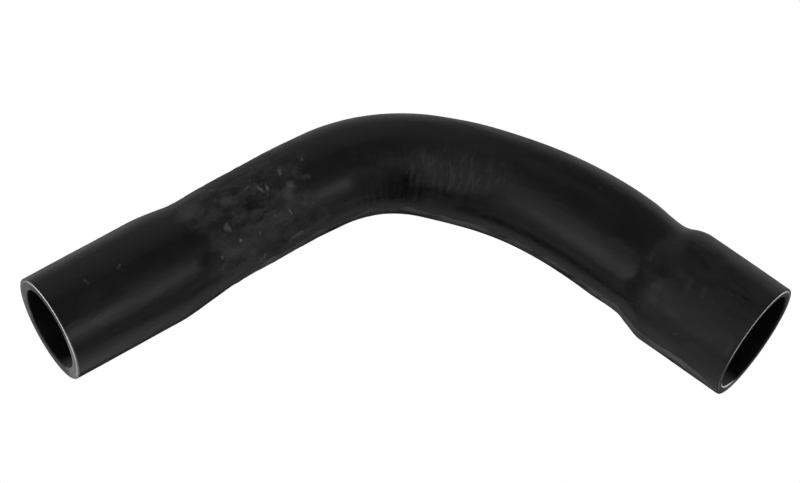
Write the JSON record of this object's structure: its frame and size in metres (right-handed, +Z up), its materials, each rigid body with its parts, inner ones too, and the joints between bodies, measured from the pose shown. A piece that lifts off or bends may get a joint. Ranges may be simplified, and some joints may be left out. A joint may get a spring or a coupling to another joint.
{
  "type": "crankcase ventilation hose",
  "caption": "Moulded black rubber breather hose with a curved body, a narrower leg and a wider push-on cuff at each end.",
  "frame": {"origin": "middle of the footprint, on the surface that the hose lies on", "axes": "+X along the hose from the small cuff towards the large cuff, +Y towards the outside of the bend, +Z up"},
  "size_m": [0.2416, 0.1048, 0.0414],
  "materials": {
    "black_rubber": "satin moulded skin with faint dusty residue"
  },
  "bodies": {
    "root": {"hose": "black_rubber"}
  },
  "joints": []
}
